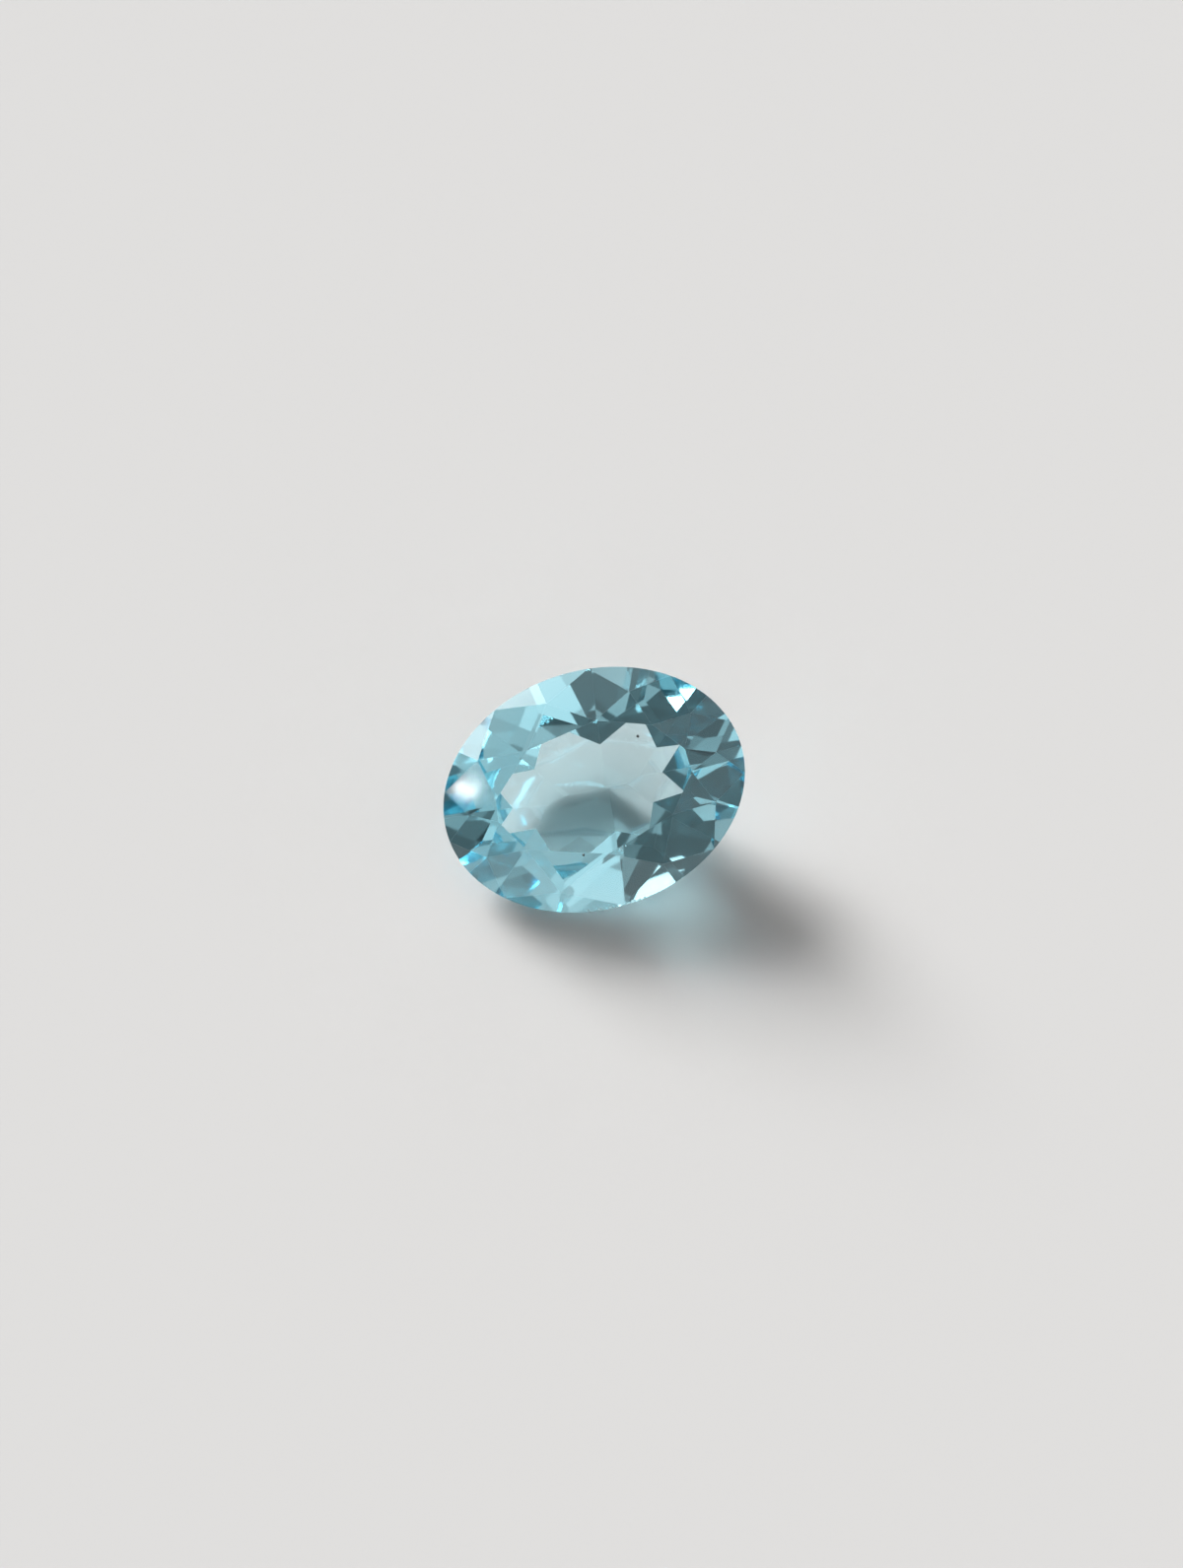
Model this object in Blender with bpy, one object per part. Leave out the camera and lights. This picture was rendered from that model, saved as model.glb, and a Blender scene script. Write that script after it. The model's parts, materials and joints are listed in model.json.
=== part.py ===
"""An oval, faceted topaz lying on one flat facet of its underside.

The stone is cut the way a lapidary cuts it. An oval blank is turned to the girdle outline, and each facet
is one flat cut. Every main facet is given by the way it faces around the stone and by its slope. The small
facets between two mains run through the point where those mains meet: stars and girdle facets above the
girdle, and long girdle facets below it. It is a hand-cut stone, so the mains aren't evenly spaced and the
underside's differ a little in slope and depth.

The cutting frame has the long axis on X, the short axis on Y and the table facing +Z, with the middle of
the girdle at the origin. A loose stone can't stand on its pointed underside. It falls over until one
pavilion main lies flat, so the finished stone is tipped onto that facet.
"""

import math

import bmesh
import bpy
from mathutils import Matrix, Vector
from mathutils.geometry import intersect_plane_plane

MM = 0.001

# Driving dimensions, in millimetres and degrees
LENGTH = 9.0
WIDTH = 7.0
GIRDLE_HEIGHT = 0.20
CROWN_HEIGHT = 0.92
CROWN_SLOPE = 30.5
STAR_TIP_HEIGHT = 0.50

# The way each crown main faces, in degrees from the long axis
CROWN_MAINS = (15, 53, 81, 112, 154, 184, 227, 268, 302, 342)

# Each pavilion main: the way it faces, its slope, how far below the girdle its cut would start at the
# outline, and how far below the girdle the point lies where it meets the next main
PAVILION_MAINS = (
    (20, 35.7, 0.13, 1.70),
    (61, 35.7, 0.14, 1.87),
    (99, 35.7, 0.15, 1.72),
    (139, 35.7, 0.12, 1.63),
    (196, 35.7, 0.10, 1.80),
    (248.5, 34.3, 0.16, 1.86),
    (288, 36.0, 0.21, 1.89),
    (323, 35.7, 0.15, 1.92),
)
RESTING_MAIN = PAVILION_MAINS[5]

GIRDLE_SEGMENTS = 240
BLANK_HALF_HEIGHT = 5.0
SAME_POINT = 0.002
CUT_TOLERANCE = 0.0001

TOPAZ_COLOUR = (0.36, 0.70, 0.78, 1.0)
TOPAZ_IOR = 1.62
POLISH_ROUGHNESS = 0.02

GIRDLE_TOP = GIRDLE_HEIGHT / 2
GIRDLE_FOOT = -GIRDLE_HEIGHT / 2
TABLE_LEVEL = GIRDLE_TOP + CROWN_HEIGHT
UP = Vector((0, 0, 1))


def clear_scene():
    for thing in list(bpy.data.objects):
        bpy.data.objects.remove(thing)


def compass(facing):
    """The level direction at this angle from the long axis."""
    return Vector((math.cos(math.radians(facing)), math.sin(math.radians(facing)), 0))


def girdle_point(facing, height):
    """The point of the oval outline whose outward side faces this way."""
    side = compass(facing)
    angle = math.atan2(WIDTH * side.y, LENGTH * side.x)
    return Vector((LENGTH / 2 * math.cos(angle), WIDTH / 2 * math.sin(angle), height))


def between(facing, next_facing):
    """The direction halfway from one main to the next one around the stone."""
    return facing + (next_facing - facing) % 360 / 2


def neighbours(values):
    """Each value with the one that follows it around the stone."""
    return zip(values, values[1:] + values[:1])


def crown_main(facing):
    slope = math.radians(CROWN_SLOPE)
    return girdle_point(facing, GIRDLE_TOP), compass(facing) * math.sin(slope) + UP * math.cos(slope)


def pavilion_main(facing, slope, start_depth):
    start = girdle_point(facing, GIRDLE_FOOT - start_depth)
    return start, compass(facing) * math.sin(math.radians(slope)) - UP * math.cos(math.radians(slope))


def plane_through(first, second, third):
    """The plane through three points, with its normal pointing away from the stone's middle."""
    normal = (second - first).cross(third - first).normalized()
    return first, normal if normal.dot(first) > 0 else -normal


def meeting_point(plane, next_plane, height):
    """The point at this height on the edge between two facets."""
    point, direction = intersect_plane_plane(*plane, *next_plane)
    return point + direction * (height - point.z) / direction.z


def girdle_pair(tip, facing, next_facing, height):
    """The two facets that run from a meeting point to the girdle between two mains."""
    middle = girdle_point(between(facing, next_facing), height)
    return [plane_through(tip, middle, girdle_point(side, height)) for side in (facing, next_facing)]


def table_corner(facing):
    """Where the middle line of a crown main runs onto the table."""
    inset = CROWN_HEIGHT / math.tan(math.radians(CROWN_SLOPE))
    return girdle_point(facing, TABLE_LEVEL) - compass(facing) * inset


def crown_planes():
    planes = [crown_main(facing) for facing in CROWN_MAINS]
    for facing, next_facing in neighbours(CROWN_MAINS):
        tip = meeting_point(crown_main(facing), crown_main(next_facing), GIRDLE_TOP + STAR_TIP_HEIGHT)
        planes += girdle_pair(tip, facing, next_facing, GIRDLE_TOP)
        planes.append(plane_through(tip, table_corner(facing), table_corner(next_facing)))
    table = (UP * TABLE_LEVEL, UP)
    return planes + [table]


def pavilion_planes():
    planes = [pavilion_main(*cut) for *cut, _ in PAVILION_MAINS]
    for (*cut, tip_depth), (*next_cut, _) in neighbours(PAVILION_MAINS):
        tip = meeting_point(pavilion_main(*cut), pavilion_main(*next_cut), GIRDLE_FOOT - tip_depth)
        planes += girdle_pair(tip, cut[0], next_cut[0], GIRDLE_FOOT)
    return planes


def turn_blank():
    """The oval blank: a cylinder ground to the girdle's outline, taller than the finished stone."""
    blank = bmesh.new()
    bmesh.ops.create_cone(
        blank,
        cap_ends=True,
        segments=GIRDLE_SEGMENTS,
        radius1=1,
        radius2=1,
        depth=2 * BLANK_HALF_HEIGHT,
    )
    bmesh.ops.scale(blank, vec=(LENGTH / 2, WIDTH / 2, 1), verts=blank.verts)
    return blank


def grind_facet(stone, plane):
    """Cuts away what lies outside one plane and closes the stone there with a flat facet."""
    point, normal = plane
    cut = bmesh.ops.bisect_plane(
        stone,
        geom=stone.verts[:] + stone.edges[:] + stone.faces[:],
        dist=CUT_TOLERANCE,
        plane_co=point,
        plane_no=normal,
        clear_outer=True,
    )
    rim = [edge for edge in cut["geom_cut"] if isinstance(edge, bmesh.types.BMEdge) and edge.is_boundary]
    bmesh.ops.edgeloop_fill(stone, edges=rim)


def cut_stone():
    """The finished stone in the cutting frame, in millimetres."""
    stone = turn_blank()
    for plane in pavilion_planes() + crown_planes():
        grind_facet(stone, plane)
    bmesh.ops.remove_doubles(stone, verts=stone.verts, dist=SAME_POINT)
    bmesh.ops.dissolve_degenerate(stone, edges=stone.edges, dist=SAME_POINT)
    bmesh.ops.recalc_face_normals(stone, faces=stone.faces)
    return stone


def lie_on_facet(stone):
    """The placement that lays the resting main flat on the ground, long axis over X and centred on Z."""
    _, facet_normal = pavilion_main(*RESTING_MAIN[:3])
    tip_over = facet_normal.rotation_difference(-UP).to_matrix().to_4x4()
    long_axis = tip_over @ Vector((1, 0, 0))
    turned = Matrix.Rotation(-math.atan2(long_axis.y, long_axis.x), 4, "Z") @ tip_over
    corners = [turned @ vertex.co for vertex in stone.verts]
    middle_x = (min(p.x for p in corners) + max(p.x for p in corners)) / 2
    middle_y = (min(p.y for p in corners) + max(p.y for p in corners)) / 2
    lowest = min(p.z for p in corners)
    return Matrix.Translation((-middle_x, -middle_y, -lowest)) @ turned


def topaz_material():
    material = bpy.data.materials.new("polished blue topaz")
    material.use_nodes = True
    shader = material.node_tree.nodes["Principled BSDF"]
    shader.inputs["Base Color"].default_value = TOPAZ_COLOUR
    shader.inputs["Roughness"].default_value = POLISH_ROUGHNESS
    shader.inputs["Metallic"].default_value = 0.0
    shader.inputs["IOR"].default_value = TOPAZ_IOR
    shader.inputs["Transmission Weight"].default_value = 1.0
    return material


def main():
    clear_scene()
    collection = bpy.data.collections.new("oval topaz")
    bpy.context.scene.collection.children.link(collection)
    stone = cut_stone()
    bmesh.ops.transform(stone, matrix=Matrix.Scale(MM, 4) @ lie_on_facet(stone), verts=stone.verts)
    mesh = bpy.data.meshes.new("topaz")
    stone.to_mesh(mesh)
    stone.free()
    mesh.materials.append(topaz_material())
    collection.objects.link(bpy.data.objects.new("topaz", mesh))


main()
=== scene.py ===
"""A loose oval-cut blue topaz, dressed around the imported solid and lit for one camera.

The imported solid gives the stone's form: each facet is a flat cut. This file gives it what a real cut stone
has besides its form: the body colour of blue topaz, the polish of its facets, the fine wear along their
edges, the ground finish of the girdle, the small chips there and two grains of dust.
"""

import json
import math
import random

import bmesh
import bpy
from bpy.props import FloatProperty, FloatVectorProperty, IntProperty, PointerProperty
from mathutils import Matrix, Vector


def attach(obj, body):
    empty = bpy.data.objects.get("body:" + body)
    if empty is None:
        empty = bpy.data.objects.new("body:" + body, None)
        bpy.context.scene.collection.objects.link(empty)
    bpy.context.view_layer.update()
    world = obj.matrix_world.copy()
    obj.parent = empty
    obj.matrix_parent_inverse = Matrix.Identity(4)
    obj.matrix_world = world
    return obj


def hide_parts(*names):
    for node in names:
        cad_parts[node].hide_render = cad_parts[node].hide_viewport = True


bl_info = {
    "name": "Oval-cut Topaz",
    "version": (1, 0, 0),
    "blender": (4, 5, 0),
    "location": "3D View > Sidebar > Topaz",
    "description": "Finishes a faceted oval topaz and sets a plain studio around it",
    "category": "Object",
}

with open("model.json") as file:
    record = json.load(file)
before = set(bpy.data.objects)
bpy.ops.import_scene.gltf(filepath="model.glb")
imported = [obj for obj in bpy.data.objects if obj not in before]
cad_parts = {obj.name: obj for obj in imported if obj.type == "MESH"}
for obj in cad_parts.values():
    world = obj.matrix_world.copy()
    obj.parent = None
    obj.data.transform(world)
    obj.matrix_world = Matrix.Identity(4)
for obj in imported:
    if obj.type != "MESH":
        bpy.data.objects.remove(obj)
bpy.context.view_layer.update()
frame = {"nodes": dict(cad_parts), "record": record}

MM = 0.001
UP = Vector((0, 0, 1))
TABLE_MOUNT = next(mount for mount in frame["record"]["mounts"] if mount["name"] == "table")
TABLE_NORMAL = Vector(TABLE_MOUNT["axis"]).normalized()
GIRDLE_CENTRE = Vector((0, 0.016, 2.272)) * MM

# The girdle is an oval, 9 x 7 mm, square to the table's normal and with its long axis over X
GIRDLE_HALF_LENGTH = 4.5 * MM
GIRDLE_HALF_WIDTH = 3.5 * MM
GIRDLE_RIM = 0.09 * MM
SHORT_AXIS = TABLE_NORMAL.cross(Vector((0, -1, 0)).cross(TABLE_NORMAL)).normalized() * -1
LONG_AXIS = SHORT_AXIS.cross(TABLE_NORMAL)

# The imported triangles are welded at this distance, and joined where they bend by less than this angle
WELD_DISTANCE = 0.0005 * MM
FLAT_WITHIN = math.radians(0.3)
# A face that leans less than this from the table's axis is the girdle's, and an edge this sharp is worn
GIRDLE_WITHIN = math.radians(5)
SHARP_OVER = math.radians(4)

# How ground a surface is, from 0 for polished to 1 for the bruted girdle
FINISH = "finish"
WORN_EDGE_FINISH = 0.6
CHIP_FINISH = 0.8
GIRDLE_FINISH = 1.0

# How much of a ground surface still lets light through, its whitish colour, and how deep its grain is
GROUND_CLEARNESS = 0.5
GROUND_COLOUR = "#E4EEF0"
GROUND_DEPTH = 0.01 * MM
GROUND_UNEVENNESS = 0.2
# How many times rougher the polish is where it is smeared
SMEARED = 3

# How many smears of the polish, grains of the ground surface and spots of the dust there are in a metre
POLISH_SMEARS = 0.7 / MM
GROUND_GRAIN = 25 / MM
DUST_SPOTS = 25 / MM
# The stretch of the noise that a pattern uses, because noise seldom comes near 0 or 1
SMEAR_NOISE = (0.35, 0.75)
GRAIN_NOISE = (0.3, 0.7)

# The chipped stretch of the girdle's oval, as shares of its length from the high end round by the back
CHIPPED_ARC = (0.70, 0.775)
SMALLEST_CHIP = 0.25
RIM_POINTS = 240

# Nicks in the worn edges: each one's place in millimetres from the frame's origin, and its radius
NICKS = ((0.27, -2.12, 2.15, 0.05), (0.42, -2.09, 2.20, 0.03), (-3.83, -0.12, 2.20, 0.04))

# Dark grains of dust on the stone, given in the same way, and how far their corners are moved at random
DUST = ((1.356, 0.357, 4.060, 0.050), (-0.825, -2.010, 2.034, 0.045))
DUST_UNEVENNESS = 0.3
DUST_ROUGHNESS = 0.9
DUST_COLOURS = ("#1C1E1F", "#4A4844")

# The photograph's frame, in its pixels
FRAME_WIDTH = 1200
FRAME_HEIGHT = 1591
PIXELS_PER_MM = 34.6
GIRDLE_CENTRE_COLUMN = 602.7
GIRDLE_CENTRE_ROW = 801.2
CAMERA_DISTANCE = 160 * MM
CAMERA_AZIMUTH = -15.92
CAMERA_ELEVATION = 54.62
CAMERA_ROLL = 2.18
SENSOR_WIDTH = 36
# The nearest and the farthest that the camera sees, in metres
CAMERA_REACH = (0.01, 10)

# Light turns many times inside a cut stone before it leaves
BOUNCES = 24
FLOOR_BOUNCES = 3
LIGHT_MAP_WIDTH = 512

# The floor lies a hair below the stone, so that the two don't touch
FLOOR_RADIUS = 450 * MM
FLOOR_DROP = 0.01 * MM
FLOOR_SIDES = 96
FLOOR_ROUGHNESS = 0.6
# How far light spreads inside the floor. It does so near the stone, and not at all beyond the second distance
FLOOR_GLOW = 1.6 * MM
GLOW_REACH = (8 * MM, 11 * MM)


def linear(hex_colour):
    """A linear colour from an sRGB hex value."""
    parts = [int(hex_colour[i:i + 2], 16) / 255 for i in (1, 3, 5)]
    return tuple(p / 12.92 if p <= 0.04045 else ((p + 0.055) / 1.055) ** 2.4 for p in parts)


def add_node(tree, kind, inputs=None, **settings):
    """One node with its settings. An input is a plain value, or another node's output to link."""
    node = tree.nodes.new(kind)
    for name, value in settings.items():
        setattr(node, name, value)
    for name, value in (inputs or {}).items():
        socket = node.inputs[name]
        if isinstance(value, bpy.types.NodeSocket):
            tree.links.new(value, socket)
        else:
            socket.default_value = value
    return node


class StoneSettings(bpy.types.PropertyGroup):
    body_colour: FloatVectorProperty(
        name="Body colour", description="The colour that white light keeps on its way through the stone",
        subtype="COLOR", size=3, min=0, max=1, default=linear("#82EAF7"))
    colour_density: FloatProperty(
        name="Colour density", description="How fast the stone takes up light, per metre", default=130, min=0)
    ior: FloatProperty(name="Refractive index", description="That of topaz", default=1.62, min=1, max=3)
    polish: FloatProperty(
        name="Polish roughness", description="Roughness of the polished facets", default=0.02, min=0, max=1)
    ground: FloatProperty(
        name="Ground roughness", description="Roughness of the girdle", default=0.5, min=0, max=1)
    crown_wear: FloatProperty(
        name="Crown edge wear", description="Width of the worn line along each edge of the crown",
        default=0.022 * MM, min=0, unit="LENGTH", precision=6)
    pavilion_wear: FloatProperty(
        name="Pavilion edge wear", description="Width of the worn line along each edge of the underside",
        default=0.008 * MM, min=0, unit="LENGTH", precision=6)
    chips: IntProperty(
        name="Girdle chips", description="How many chips the front of the girdle has", default=12, min=0)
    chip_size: FloatProperty(
        name="Chip size", description="Radius of the largest chip", default=0.1 * MM, min=0, unit="LENGTH",
        precision=6)
    seed: IntProperty(name="Seed", description="Which random chips and shapes of dust", default=4)


class StudioSettings(bpy.types.PropertyGroup):
    floor_colour: FloatVectorProperty(
        name="Floor colour", description="The pale floor", subtype="COLOR", size=3, min=0, max=1,
        default=linear("#BAB9B8"))
    key_light: FloatProperty(
        name="Key light", description="Brightness of the large soft light", default=63, min=0)
    room_light: FloatProperty(
        name="Room light", description="Brightness of all the light around the stone", default=1.0, min=0)


def topaz_material(settings):
    """Blue topaz, cut and polished: clear, with bright sharp reflections and a blue that deepens with depth.

    The polish has faint smears. Where the surface is ground or worn, the same material turns rough and
    whitish, as frosted glass does. One material does both, so light keeps its way through the stone.
    """
    material = bpy.data.materials.new("polished blue topaz")
    material.use_nodes = True
    tree = material.node_tree
    shader = tree.nodes["Principled BSDF"]
    shader.inputs["Metallic"].default_value = 0
    shader.inputs["IOR"].default_value = settings.ior
    place = add_node(tree, "ShaderNodeTexCoord").outputs["Object"]
    finish = add_node(tree, "ShaderNodeAttribute", attribute_name=FINISH).outputs["Fac"]

    smears = add_node(tree, "ShaderNodeTexNoise", {"Vector": place, "Scale": POLISH_SMEARS, "Detail": 3})
    polish = add_node(tree, "ShaderNodeMapRange", {
        "Value": smears.outputs["Fac"], "From Min": SMEAR_NOISE[0], "From Max": SMEAR_NOISE[1],
        "To Min": settings.polish, "To Max": settings.polish * SMEARED})
    grain = add_node(tree, "ShaderNodeTexNoise", {"Vector": place, "Scale": GROUND_GRAIN, "Detail": 2})
    ground = add_node(tree, "ShaderNodeMapRange", {
        "Value": grain.outputs["Fac"], "From Min": GRAIN_NOISE[0], "From Max": GRAIN_NOISE[1],
        "To Min": settings.ground * (1 - GROUND_UNEVENNESS),
        "To Max": settings.ground * (1 + GROUND_UNEVENNESS)})
    roughness = add_node(tree, "ShaderNodeMix", {
        0: finish, 2: polish.outputs["Result"], 3: ground.outputs["Result"]}, data_type="FLOAT")
    tree.links.new(roughness.outputs[0], shader.inputs["Roughness"])

    clear = add_node(tree, "ShaderNodeMapRange", {"Value": finish, "To Min": 1, "To Max": GROUND_CLEARNESS})
    tree.links.new(clear.outputs["Result"], shader.inputs["Transmission Weight"])
    colour = add_node(tree, "ShaderNodeMix", {
        0: finish, 6: (1, 1, 1, 1), 7: (*linear(GROUND_COLOUR), 1)}, data_type="RGBA")
    tree.links.new(colour.outputs[2], shader.inputs["Base Color"])

    relief = add_node(tree, "ShaderNodeBump", {
        "Height": grain.outputs["Fac"], "Strength": finish, "Distance": GROUND_DEPTH})
    tree.links.new(relief.outputs["Normal"], shader.inputs["Normal"])

    absorption = add_node(tree, "ShaderNodeVolumeAbsorption",
                          {"Color": (*settings.body_colour, 1), "Density": settings.colour_density})
    tree.links.new(absorption.outputs["Volume"], tree.nodes["Material Output"].inputs["Volume"])
    return material


def facets_of(node):
    """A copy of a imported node's mesh with its triangles welded and joined into flat facets."""
    plain = node.data.copy()
    plain.attributes.remove(plain.attributes["custom_normal"])
    facets = bmesh.new()
    facets.from_mesh(plain)
    bpy.data.meshes.remove(plain)
    for face in facets.faces:
        face.smooth = False
    bmesh.ops.remove_doubles(facets, verts=facets.verts, dist=WELD_DISTANCE)
    bmesh.ops.dissolve_limit(facets, angle_limit=FLAT_WITHIN, verts=facets.verts, edges=facets.edges)
    return facets


def wear_edges(facets, settings):
    """Turns each facet edge into a narrow worn line, and marks how ground each face is."""
    finish = facets.faces.layers.float.new(FINISH)
    for face in facets.faces:
        on_girdle = abs(face.normal.dot(TABLE_NORMAL)) < math.sin(GIRDLE_WITHIN)
        face[finish] = GIRDLE_FINISH if on_girdle else 0

    def above_girdle(edge):
        middle = (edge.verts[0].co + edge.verts[1].co) / 2
        return (middle - GIRDLE_CENTRE).dot(TABLE_NORMAL) > 0

    for crown, width in ((True, settings.crown_wear), (False, settings.pavilion_wear)):
        sharp = [edge for edge in facets.edges
                 if edge.calc_face_angle(0) > SHARP_OVER and above_girdle(edge) == crown
                 and all(face[finish] in (0, GIRDLE_FINISH) for face in edge.link_faces)]
        worn = bmesh.ops.bevel(facets, geom=sharp, offset=width, offset_type="WIDTH", segments=1,
                               affect="EDGES", clamp_overlap=True)
        for face in worn["faces"]:
            face[finish] = WORN_EDGE_FINISH


def chip_tree(settings, material):
    """Geometry Nodes for the lumps that the chips are cut with.

    They have flat sides. They lie along the front of the girdle's upper rim, and one sits on each nick.
    """
    tree = bpy.data.node_groups.new("chips", "GeometryNodeTree")
    sockets = tree.interface
    sockets.new_socket("Geometry", in_out="INPUT", socket_type="NodeSocketGeometry")
    values = {"Count": ("Int", settings.chips), "Largest": ("Float", settings.chip_size),
              "Seed": ("Int", settings.seed), "Arc start": ("Float", CHIPPED_ARC[0]),
              "Arc end": ("Float", CHIPPED_ARC[1])}
    chosen = {}
    for name, (kind, value) in values.items():
        socket = sockets.new_socket(name, in_out="INPUT", socket_type=f"NodeSocket{kind}")
        chosen[socket.identifier] = value
    sockets.new_socket("Geometry", in_out="OUTPUT", socket_type="NodeSocketGeometry")
    given = tree.nodes.new("NodeGroupInput").outputs

    circle = add_node(tree, "GeometryNodeCurvePrimitiveCircle", {"Resolution": RIM_POINTS, "Radius": 1})
    turn = Matrix((LONG_AXIS, SHORT_AXIS, TABLE_NORMAL)).transposed().to_euler()
    rim = add_node(tree, "GeometryNodeTransform", {
        "Geometry": circle.outputs["Curve"], "Translation": GIRDLE_CENTRE + TABLE_NORMAL * GIRDLE_RIM,
        "Rotation": turn, "Scale": (GIRDLE_HALF_LENGTH, GIRDLE_HALF_WIDTH, 1)})
    arc = add_node(tree, "GeometryNodeTrimCurve", {
        "Curve": rim.outputs["Geometry"], "Start": given["Arc start"], "End": given["Arc end"]})
    spots = add_node(tree, "GeometryNodeCurveToPoints", {
        "Curve": arc.outputs["Curve"], "Count": given["Count"]}, mode="COUNT")
    size = add_node(tree, "FunctionNodeRandomValue", {
        2: SMALLEST_CHIP, 3: 1.0, "Seed": given["Seed"]}, data_type="FLOAT")
    along_rim = add_node(tree, "ShaderNodeMath", {
        0: size.outputs[1], 1: given["Largest"]}, operation="MULTIPLY")
    nick_size = add_node(tree, "GeometryNodeInputNamedAttribute", {"Name": "radius"}, data_type="FLOAT")
    turned = add_node(tree, "FunctionNodeRandomValue", {
        0: (0, 0, 0), 1: (math.tau, math.tau, math.tau), "Seed": given["Seed"]}, data_type="FLOAT_VECTOR")
    lump = add_node(tree, "GeometryNodeMeshIcoSphere", {"Radius": 1, "Subdivisions": 1})
    both = tree.nodes.new("GeometryNodeJoinGeometry")
    for points, scale in ((spots.outputs["Points"], along_rim.outputs["Value"]),
                          (given["Geometry"], nick_size.outputs["Attribute"])):
        placed = add_node(tree, "GeometryNodeInstanceOnPoints", {
            "Points": points, "Instance": lump.outputs["Mesh"], "Rotation": turned.outputs[0],
            "Scale": scale})
        tree.links.new(placed.outputs["Instances"], both.inputs["Geometry"])
    real = add_node(tree, "GeometryNodeRealizeInstances", {"Geometry": both.outputs["Geometry"]})
    dressed = add_node(tree, "GeometryNodeSetMaterial", {
        "Geometry": real.outputs["Geometry"], "Material": material})
    tree.links.new(dressed.outputs["Geometry"], tree.nodes.new("NodeGroupOutput").inputs[0])
    return tree, chosen


def plain_mesh(source):
    """The object's mesh with its modifiers worked in."""
    depsgraph = bpy.context.evaluated_depsgraph_get()
    return bpy.data.meshes.new_from_object(source.evaluated_get(depsgraph))


def chip_lumps(collection, settings, material):
    """The lumps that are taken out of the stone's edges, as one object."""
    nicks = bpy.data.meshes.new("nicks")
    nicks.from_pydata([Vector(nick[:3]) * MM for nick in NICKS], [], [])
    radius = nicks.attributes.new("radius", "FLOAT", "POINT")
    for value, nick in zip(radius.data, NICKS):
        value.value = nick[3] * MM
    lumps = bpy.data.objects.new("chip_lumps", nicks)
    collection.objects.link(lumps)
    modifier = lumps.modifiers.new("chips", "NODES")
    modifier.node_group, chosen = chip_tree(settings, material)
    for identifier, value in chosen.items():
        modifier[identifier] = value
    mesh = plain_mesh(lumps)
    lumps.modifiers.clear()
    lumps.data = mesh
    return lumps


def take_out(stone, lumps, finish_material):
    """Takes the lumps out of the stone, and gives what they leave its own finish."""
    cut = stone.modifiers.new("chips", "BOOLEAN")
    cut.object = lumps
    cut.operation = "DIFFERENCE"
    cut.solver = "EXACT"
    cut.material_mode = "TRANSFER"
    mesh = plain_mesh(stone)
    stone.modifiers.clear()
    stone.data = mesh
    chip_slot = mesh.materials.find(finish_material.name)
    finish = mesh.attributes[FINISH].data
    for face in mesh.polygons:
        if face.material_index == chip_slot:
            finish[face.index].value = CHIP_FINISH
            face.material_index = 0
    mesh.materials.pop(index=chip_slot)
    bpy.data.objects.remove(lumps)


def dust_material():
    """Dark household dust. It is dull and uneven in colour, so a grain looks like grit, not a bead."""
    material = bpy.data.materials.new("dark dust")
    material.use_nodes = True
    tree = material.node_tree
    shader = tree.nodes["Principled BSDF"]
    shader.inputs["Roughness"].default_value = DUST_ROUGHNESS
    place = add_node(tree, "ShaderNodeTexCoord").outputs["Object"]
    spots = add_node(tree, "ShaderNodeTexNoise", {"Vector": place, "Scale": DUST_SPOTS, "Detail": 2})
    darkest, lightest = (linear(colour) for colour in DUST_COLOURS)
    colour = add_node(tree, "ShaderNodeMix", {
        0: spots.outputs["Fac"], 6: (*darkest, 1), 7: (*lightest, 1)}, data_type="RGBA")
    tree.links.new(colour.outputs[2], shader.inputs["Base Color"])
    return material


class TOPAZ_OT_dust(bpy.types.Operator):
    """Lay the dark grains of dust on the stone"""

    bl_idname = "topaz.dust"
    bl_label = "Lay the Dust"

    def execute(self, context):
        if not DUST:
            raise RuntimeError("there are no grains of dust to lay")
        draw = random.Random(context.scene.topaz_stone.seed)
        grains = bmesh.new()
        for *spot, radius in DUST:
            middle = Vector(spot) * MM
            grain = bmesh.ops.create_icosphere(
                grains, subdivisions=2, radius=radius * MM, matrix=Matrix.Translation(middle))
            for corner in grain["verts"]:
                corner.co = middle + (corner.co - middle) * (1 - DUST_UNEVENNESS * draw.random())
        mesh = bpy.data.meshes.new("dust_grains")
        grains.to_mesh(mesh)
        grains.free()
        mesh.materials.append(dust_material())
        dust = bpy.data.objects.new("dust_grains", mesh)
        context.scene.collection.objects.link(dust)
        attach(dust, "root")
        return {"FINISHED"}


class TOPAZ_OT_stone(bpy.types.Operator):
    """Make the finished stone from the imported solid"""

    bl_idname = "topaz.stone"
    bl_label = "Finish the Stone"

    def execute(self, context):
        settings = context.scene.topaz_stone
        facets = facets_of(frame["nodes"]["topaz"])
        if not facets.faces:
            raise RuntimeError("the packed node topaz has no faces")
        wear_edges(facets, settings)
        mesh = bpy.data.meshes.new("faceted_stone")
        facets.to_mesh(mesh)
        facets.free()
        mesh.materials.append(topaz_material(settings))
        stone = bpy.data.objects.new("faceted_stone", mesh)
        context.scene.collection.objects.link(stone)
        chip_mark = bpy.data.materials.new("chip")
        take_out(stone, chip_lumps(context.scene.collection, settings, chip_mark), chip_mark)
        bpy.data.materials.remove(chip_mark)
        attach(stone, "root")
        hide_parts("topaz")
        return {"FINISHED"}


def direction(azimuth, elevation):
    """The way to a point around the stone. Azimuth 0 is in front, 90 to the right and 180 behind."""
    around, above = math.radians(azimuth), math.radians(elevation)
    return Vector((math.sin(around) * math.cos(above), -math.cos(around) * math.cos(above), math.sin(above)))


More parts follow.
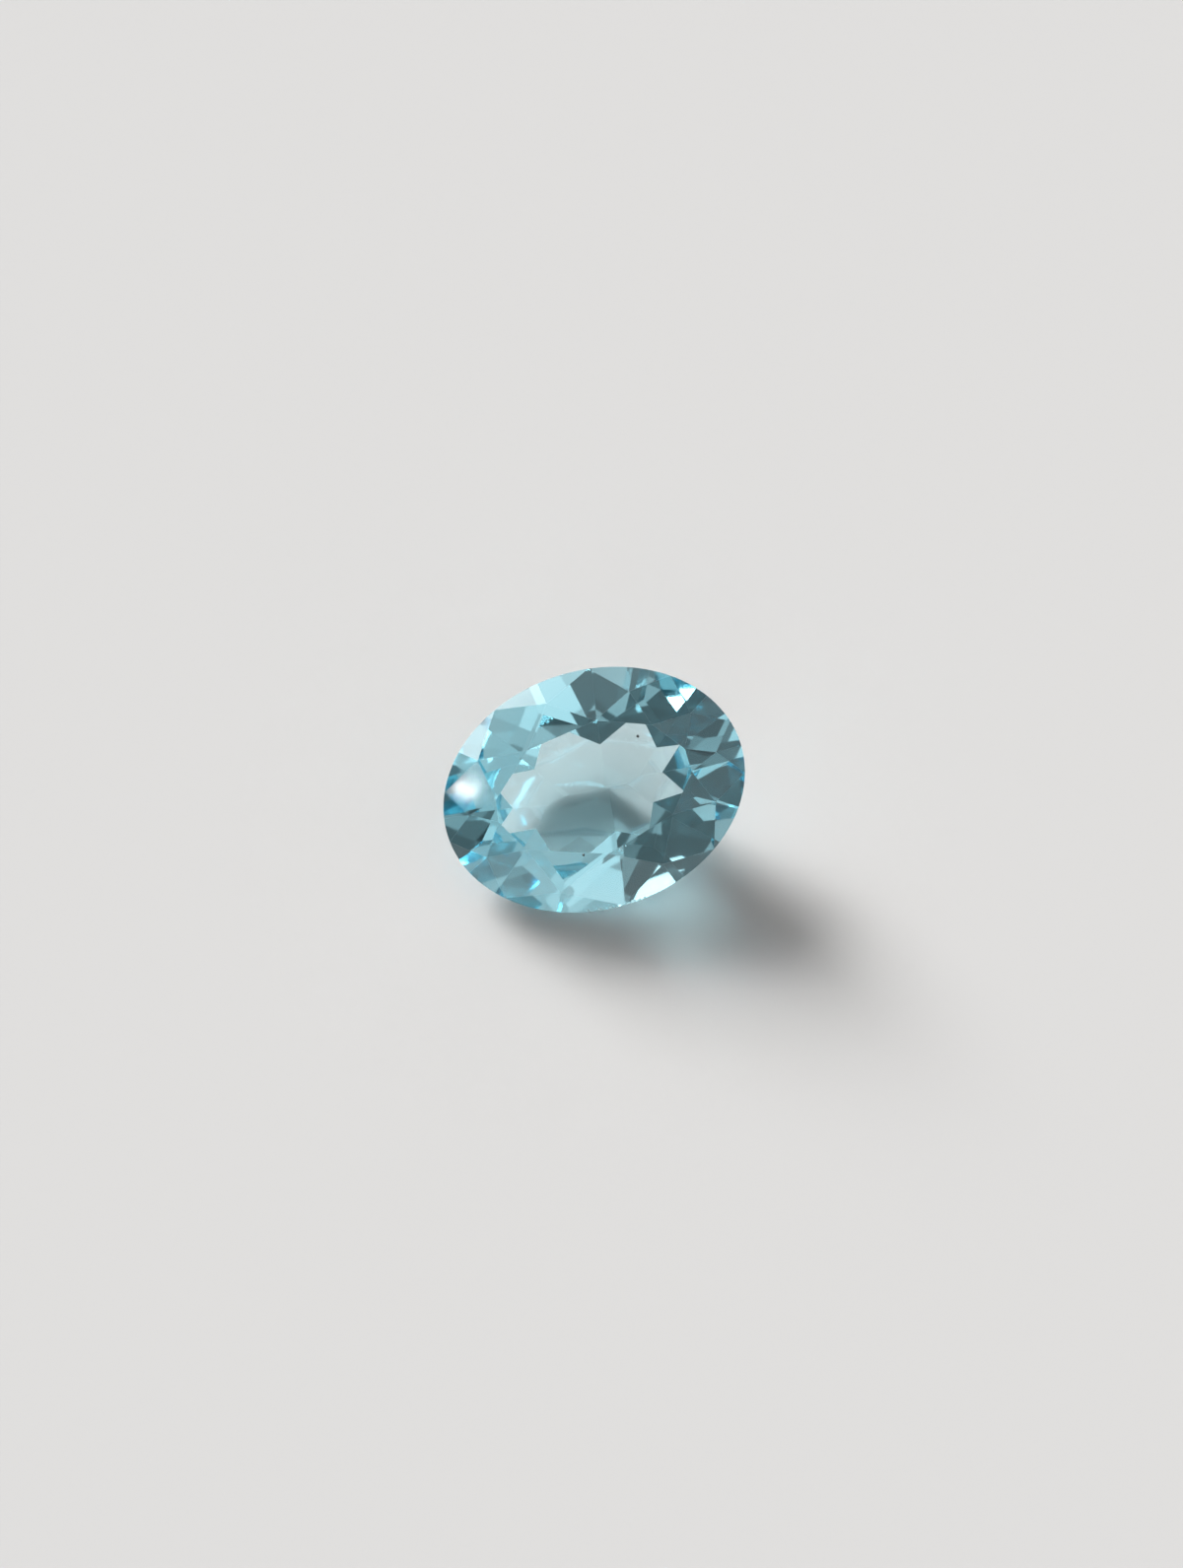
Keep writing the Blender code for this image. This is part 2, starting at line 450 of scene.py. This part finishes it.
def add_camera(scene):
    """The camera looks almost straight down onto the stone's table, as the photograph does."""
    back = direction(CAMERA_AZIMUTH, CAMERA_ELEVATION)
    right = Matrix.Rotation(math.radians(CAMERA_ROLL), 3, back) @ UP.cross(back).normalized()
    up = back.cross(right)
    metres = MM / PIXELS_PER_MM
    aim = GIRDLE_CENTRE + right * (FRAME_WIDTH / 2 - GIRDLE_CENTRE_COLUMN) * metres
    aim += up * (GIRDLE_CENTRE_ROW - FRAME_HEIGHT / 2) * metres
    lens = bpy.data.cameras.new("camera")
    lens.sensor_fit = "HORIZONTAL"
    lens.sensor_width = SENSOR_WIDTH
    lens.lens = PIXELS_PER_MM / MM * CAMERA_DISTANCE * SENSOR_WIDTH / FRAME_WIDTH
    lens.clip_start, lens.clip_end = CAMERA_REACH
    camera = bpy.data.objects.new("camera", lens)
    camera.matrix_world = Matrix.Translation(aim + back * CAMERA_DISTANCE) @ Matrix(
        (right, up, back)).transposed().to_4x4()
    scene.collection.objects.link(camera)
    scene.camera = camera


def floor_material(colour):
    """A matt pale slab that lets light spread a little inside, which softens the shadow under the stone."""
    material = bpy.data.materials.new("matt pale floor")
    material.use_nodes = True
    tree = material.node_tree
    shader = tree.nodes["Principled BSDF"]
    shader.inputs["Base Color"].default_value = (*colour, 1)
    shader.inputs["Roughness"].default_value = FLOOR_ROUGHNESS
    shader.inputs["Specular IOR Level"].default_value = 0
    shader.subsurface_method = "BURLEY"
    shader.inputs["Subsurface Radius"].default_value = (1, 1, 1)
    shader.inputs["Subsurface Scale"].default_value = FLOOR_GLOW
    place = add_node(tree, "ShaderNodeTexCoord").outputs["Object"]
    reach = add_node(tree, "ShaderNodeVectorMath", {0: place}, operation="LENGTH")
    glowing = add_node(tree, "ShaderNodeMapRange", {
        "Value": reach.outputs["Value"], "From Min": GLOW_REACH[0], "From Max": GLOW_REACH[1],
        "To Min": 1, "To Max": 0})
    tree.links.new(glowing.outputs["Result"], shader.inputs["Subsurface Weight"])
    return material


def add_floor(scene, colour):
    """The plain round floor that the stone lies on."""
    disc = bmesh.new()
    bmesh.ops.create_circle(disc, cap_ends=True, segments=FLOOR_SIDES, radius=FLOOR_RADIUS,
                            matrix=Matrix.Translation(-UP * FLOOR_DROP))
    floor_mesh = bpy.data.meshes.new("floor")
    disc.to_mesh(floor_mesh)
    disc.free()
    floor_mesh.materials.append(floor_material(colour))
    floor = bpy.data.objects.new("floor", floor_mesh)
    scene.collection.objects.link(floor)


# The light around the stone, as round patches with soft edges: azimuth, elevation and radius in degrees,
# and how much brighter or darker than the rest. The key is the strong soft light behind on the left.
KEY_PATCH = (-155, 26, 15)
# The share of a patch's radius over which it fades out
KEY_EDGE = 0.7
PATCH_EDGE = 0.3
ROOM_BASE = 0.12
ROOM_PATCHES = (
    # a large soft light in front on the right, and a pale one behind
    (55, 45, 50, 0.48),
    (180, 20, 45, 1.00),
    # small soft lights high in front, for the pale facets at the upper left, the bottom and the lower left
    (15, 60, 14, 0.35),
    (5, 44, 8, 0.30),
    (-17, 43, 4, 0.30),
    # a bright light in front, which whitens the facet at the lower right
    (-22, 29, 9, 2.40),
    # lights on the left, for the blue facets along the top and on the right
    (-57, 68, 9, 0.65),
    (-69, 42, 6, 0.35),
    (-47, 50, 5, 0.40),
    (-37, 8, 10, 0.35),
    # a dark patch near the camera and one low on the right, which keep the facets that look there dark
    (-8, 54, 7, -0.30),
    (50, 14, 14, -0.30),
    # a bright light beside the key
    (-136, 28, 7, 5.50),
)
ROOM_DARKEST = 0.03
# A small far lamp, too small to light anything: a facet at the left mirrors it as a round white spot
SMALL_LAMP = (-96.5, 24.46, 0.15, 22)
# The one colour that the camera sees past the floor
PLAIN_BACKGROUND = "#D9D8D6"


def room_patch(tree, way, azimuth, elevation, radius, level, edge=PATCH_EDGE):
    """The brightness that one soft round patch adds in each direction."""
    facing = add_node(tree, "ShaderNodeVectorMath", {0: way, 1: direction(azimuth, elevation)},
                      operation="DOT_PRODUCT")
    patch = add_node(tree, "ShaderNodeMapRange", {
        "Value": facing.outputs["Value"], "From Min": math.cos(math.radians(radius)),
        "From Max": math.cos(math.radians(radius * (1 - edge))), "To Min": 0, "To Max": level},
        interpolation_type="SMOOTHSTEP")
    return patch.outputs["Result"]


def add_room(scene, brightness, key_brightness):
    """The light all around, which the stone mirrors and lets through. The camera sees one plain colour."""
    world = bpy.data.worlds.new("room")
    world.use_nodes = True
    tree = world.node_tree
    way = add_node(tree, "ShaderNodeTexCoord").outputs["Generated"]
    light = ROOM_BASE
    for patch in (*ROOM_PATCHES, (*KEY_PATCH, key_brightness, KEY_EDGE)):
        total = add_node(tree, "ShaderNodeMath", {
            0: light, 1: room_patch(tree, way, *patch)}, operation="ADD")
        light = total.outputs["Value"]
    soft = add_node(tree, "ShaderNodeMath", {0: light, 1: ROOM_DARKEST}, operation="MAXIMUM")
    ray = add_node(tree, "ShaderNodeLightPath").outputs
    lamp = add_node(tree, "ShaderNodeMath", {
        0: room_patch(tree, way, *SMALL_LAMP), 1: ray["Is Glossy Ray"]}, operation="MULTIPLY")
    both = add_node(tree, "ShaderNodeMath", {
        0: soft.outputs["Value"], 1: lamp.outputs["Value"]}, operation="ADD")
    seen = add_node(tree, "ShaderNodeMix", {
        0: ray["Is Camera Ray"], 6: both.outputs["Value"], 7: (*linear(PLAIN_BACKGROUND), 1)},
        data_type="RGBA")
    background = tree.nodes["Background"]
    tree.links.new(seen.outputs[2], background.inputs["Color"])
    background.inputs["Strength"].default_value = brightness
    world.cycles.sampling_method = "MANUAL"
    world.cycles.sample_map_resolution = LIGHT_MAP_WIDTH
    scene.world = world


class TOPAZ_OT_studio(bpy.types.Operator):
    """Set the pale floor, the soft lights and the camera"""

    bl_idname = "topaz.studio"
    bl_label = "Set the Studio"

    def execute(self, context):
        scene = context.scene
        settings = scene.topaz_studio
        add_floor(scene, settings.floor_colour)
        add_room(scene, settings.room_light, settings.key_light)
        add_camera(scene)
        scene.view_settings.view_transform = "Standard"
        scene.cycles.max_bounces = BOUNCES
        scene.cycles.transmission_bounces = BOUNCES
        scene.cycles.glossy_bounces = BOUNCES
        scene.cycles.diffuse_bounces = FLOOR_BOUNCES
        scene.cycles.blur_glossy = 0
        return {"FINISHED"}


class TOPAZ_PT_panel(bpy.types.Panel):
    bl_idname = "TOPAZ_PT_panel"
    bl_label = "Oval-cut Topaz"
    bl_space_type = "VIEW_3D"
    bl_region_type = "UI"
    bl_category = "Topaz"

    def draw(self, context):
        layout = self.layout
        for settings in (context.scene.topaz_stone, context.scene.topaz_studio):
            box = layout.box()
            for name in settings.__annotations__:
                box.prop(settings, name)
        for operator in OPERATORS:
            layout.operator(operator.bl_idname)


OPERATORS = (TOPAZ_OT_stone, TOPAZ_OT_dust, TOPAZ_OT_studio)
CLASSES = (StoneSettings, StudioSettings, *OPERATORS, TOPAZ_PT_panel)


def register():
    for cls in CLASSES:
        bpy.utils.register_class(cls)
    bpy.types.Scene.topaz_stone = PointerProperty(type=StoneSettings)
    bpy.types.Scene.topaz_studio = PointerProperty(type=StudioSettings)


def unregister():
    del bpy.types.Scene.topaz_studio
    del bpy.types.Scene.topaz_stone
    for cls in reversed(CLASSES):
        bpy.utils.unregister_class(cls)


def main():
    register()
    bpy.ops.topaz.stone()
    bpy.ops.topaz.dust()
    bpy.ops.topaz.studio()


if __name__ == "__main__":
    main()
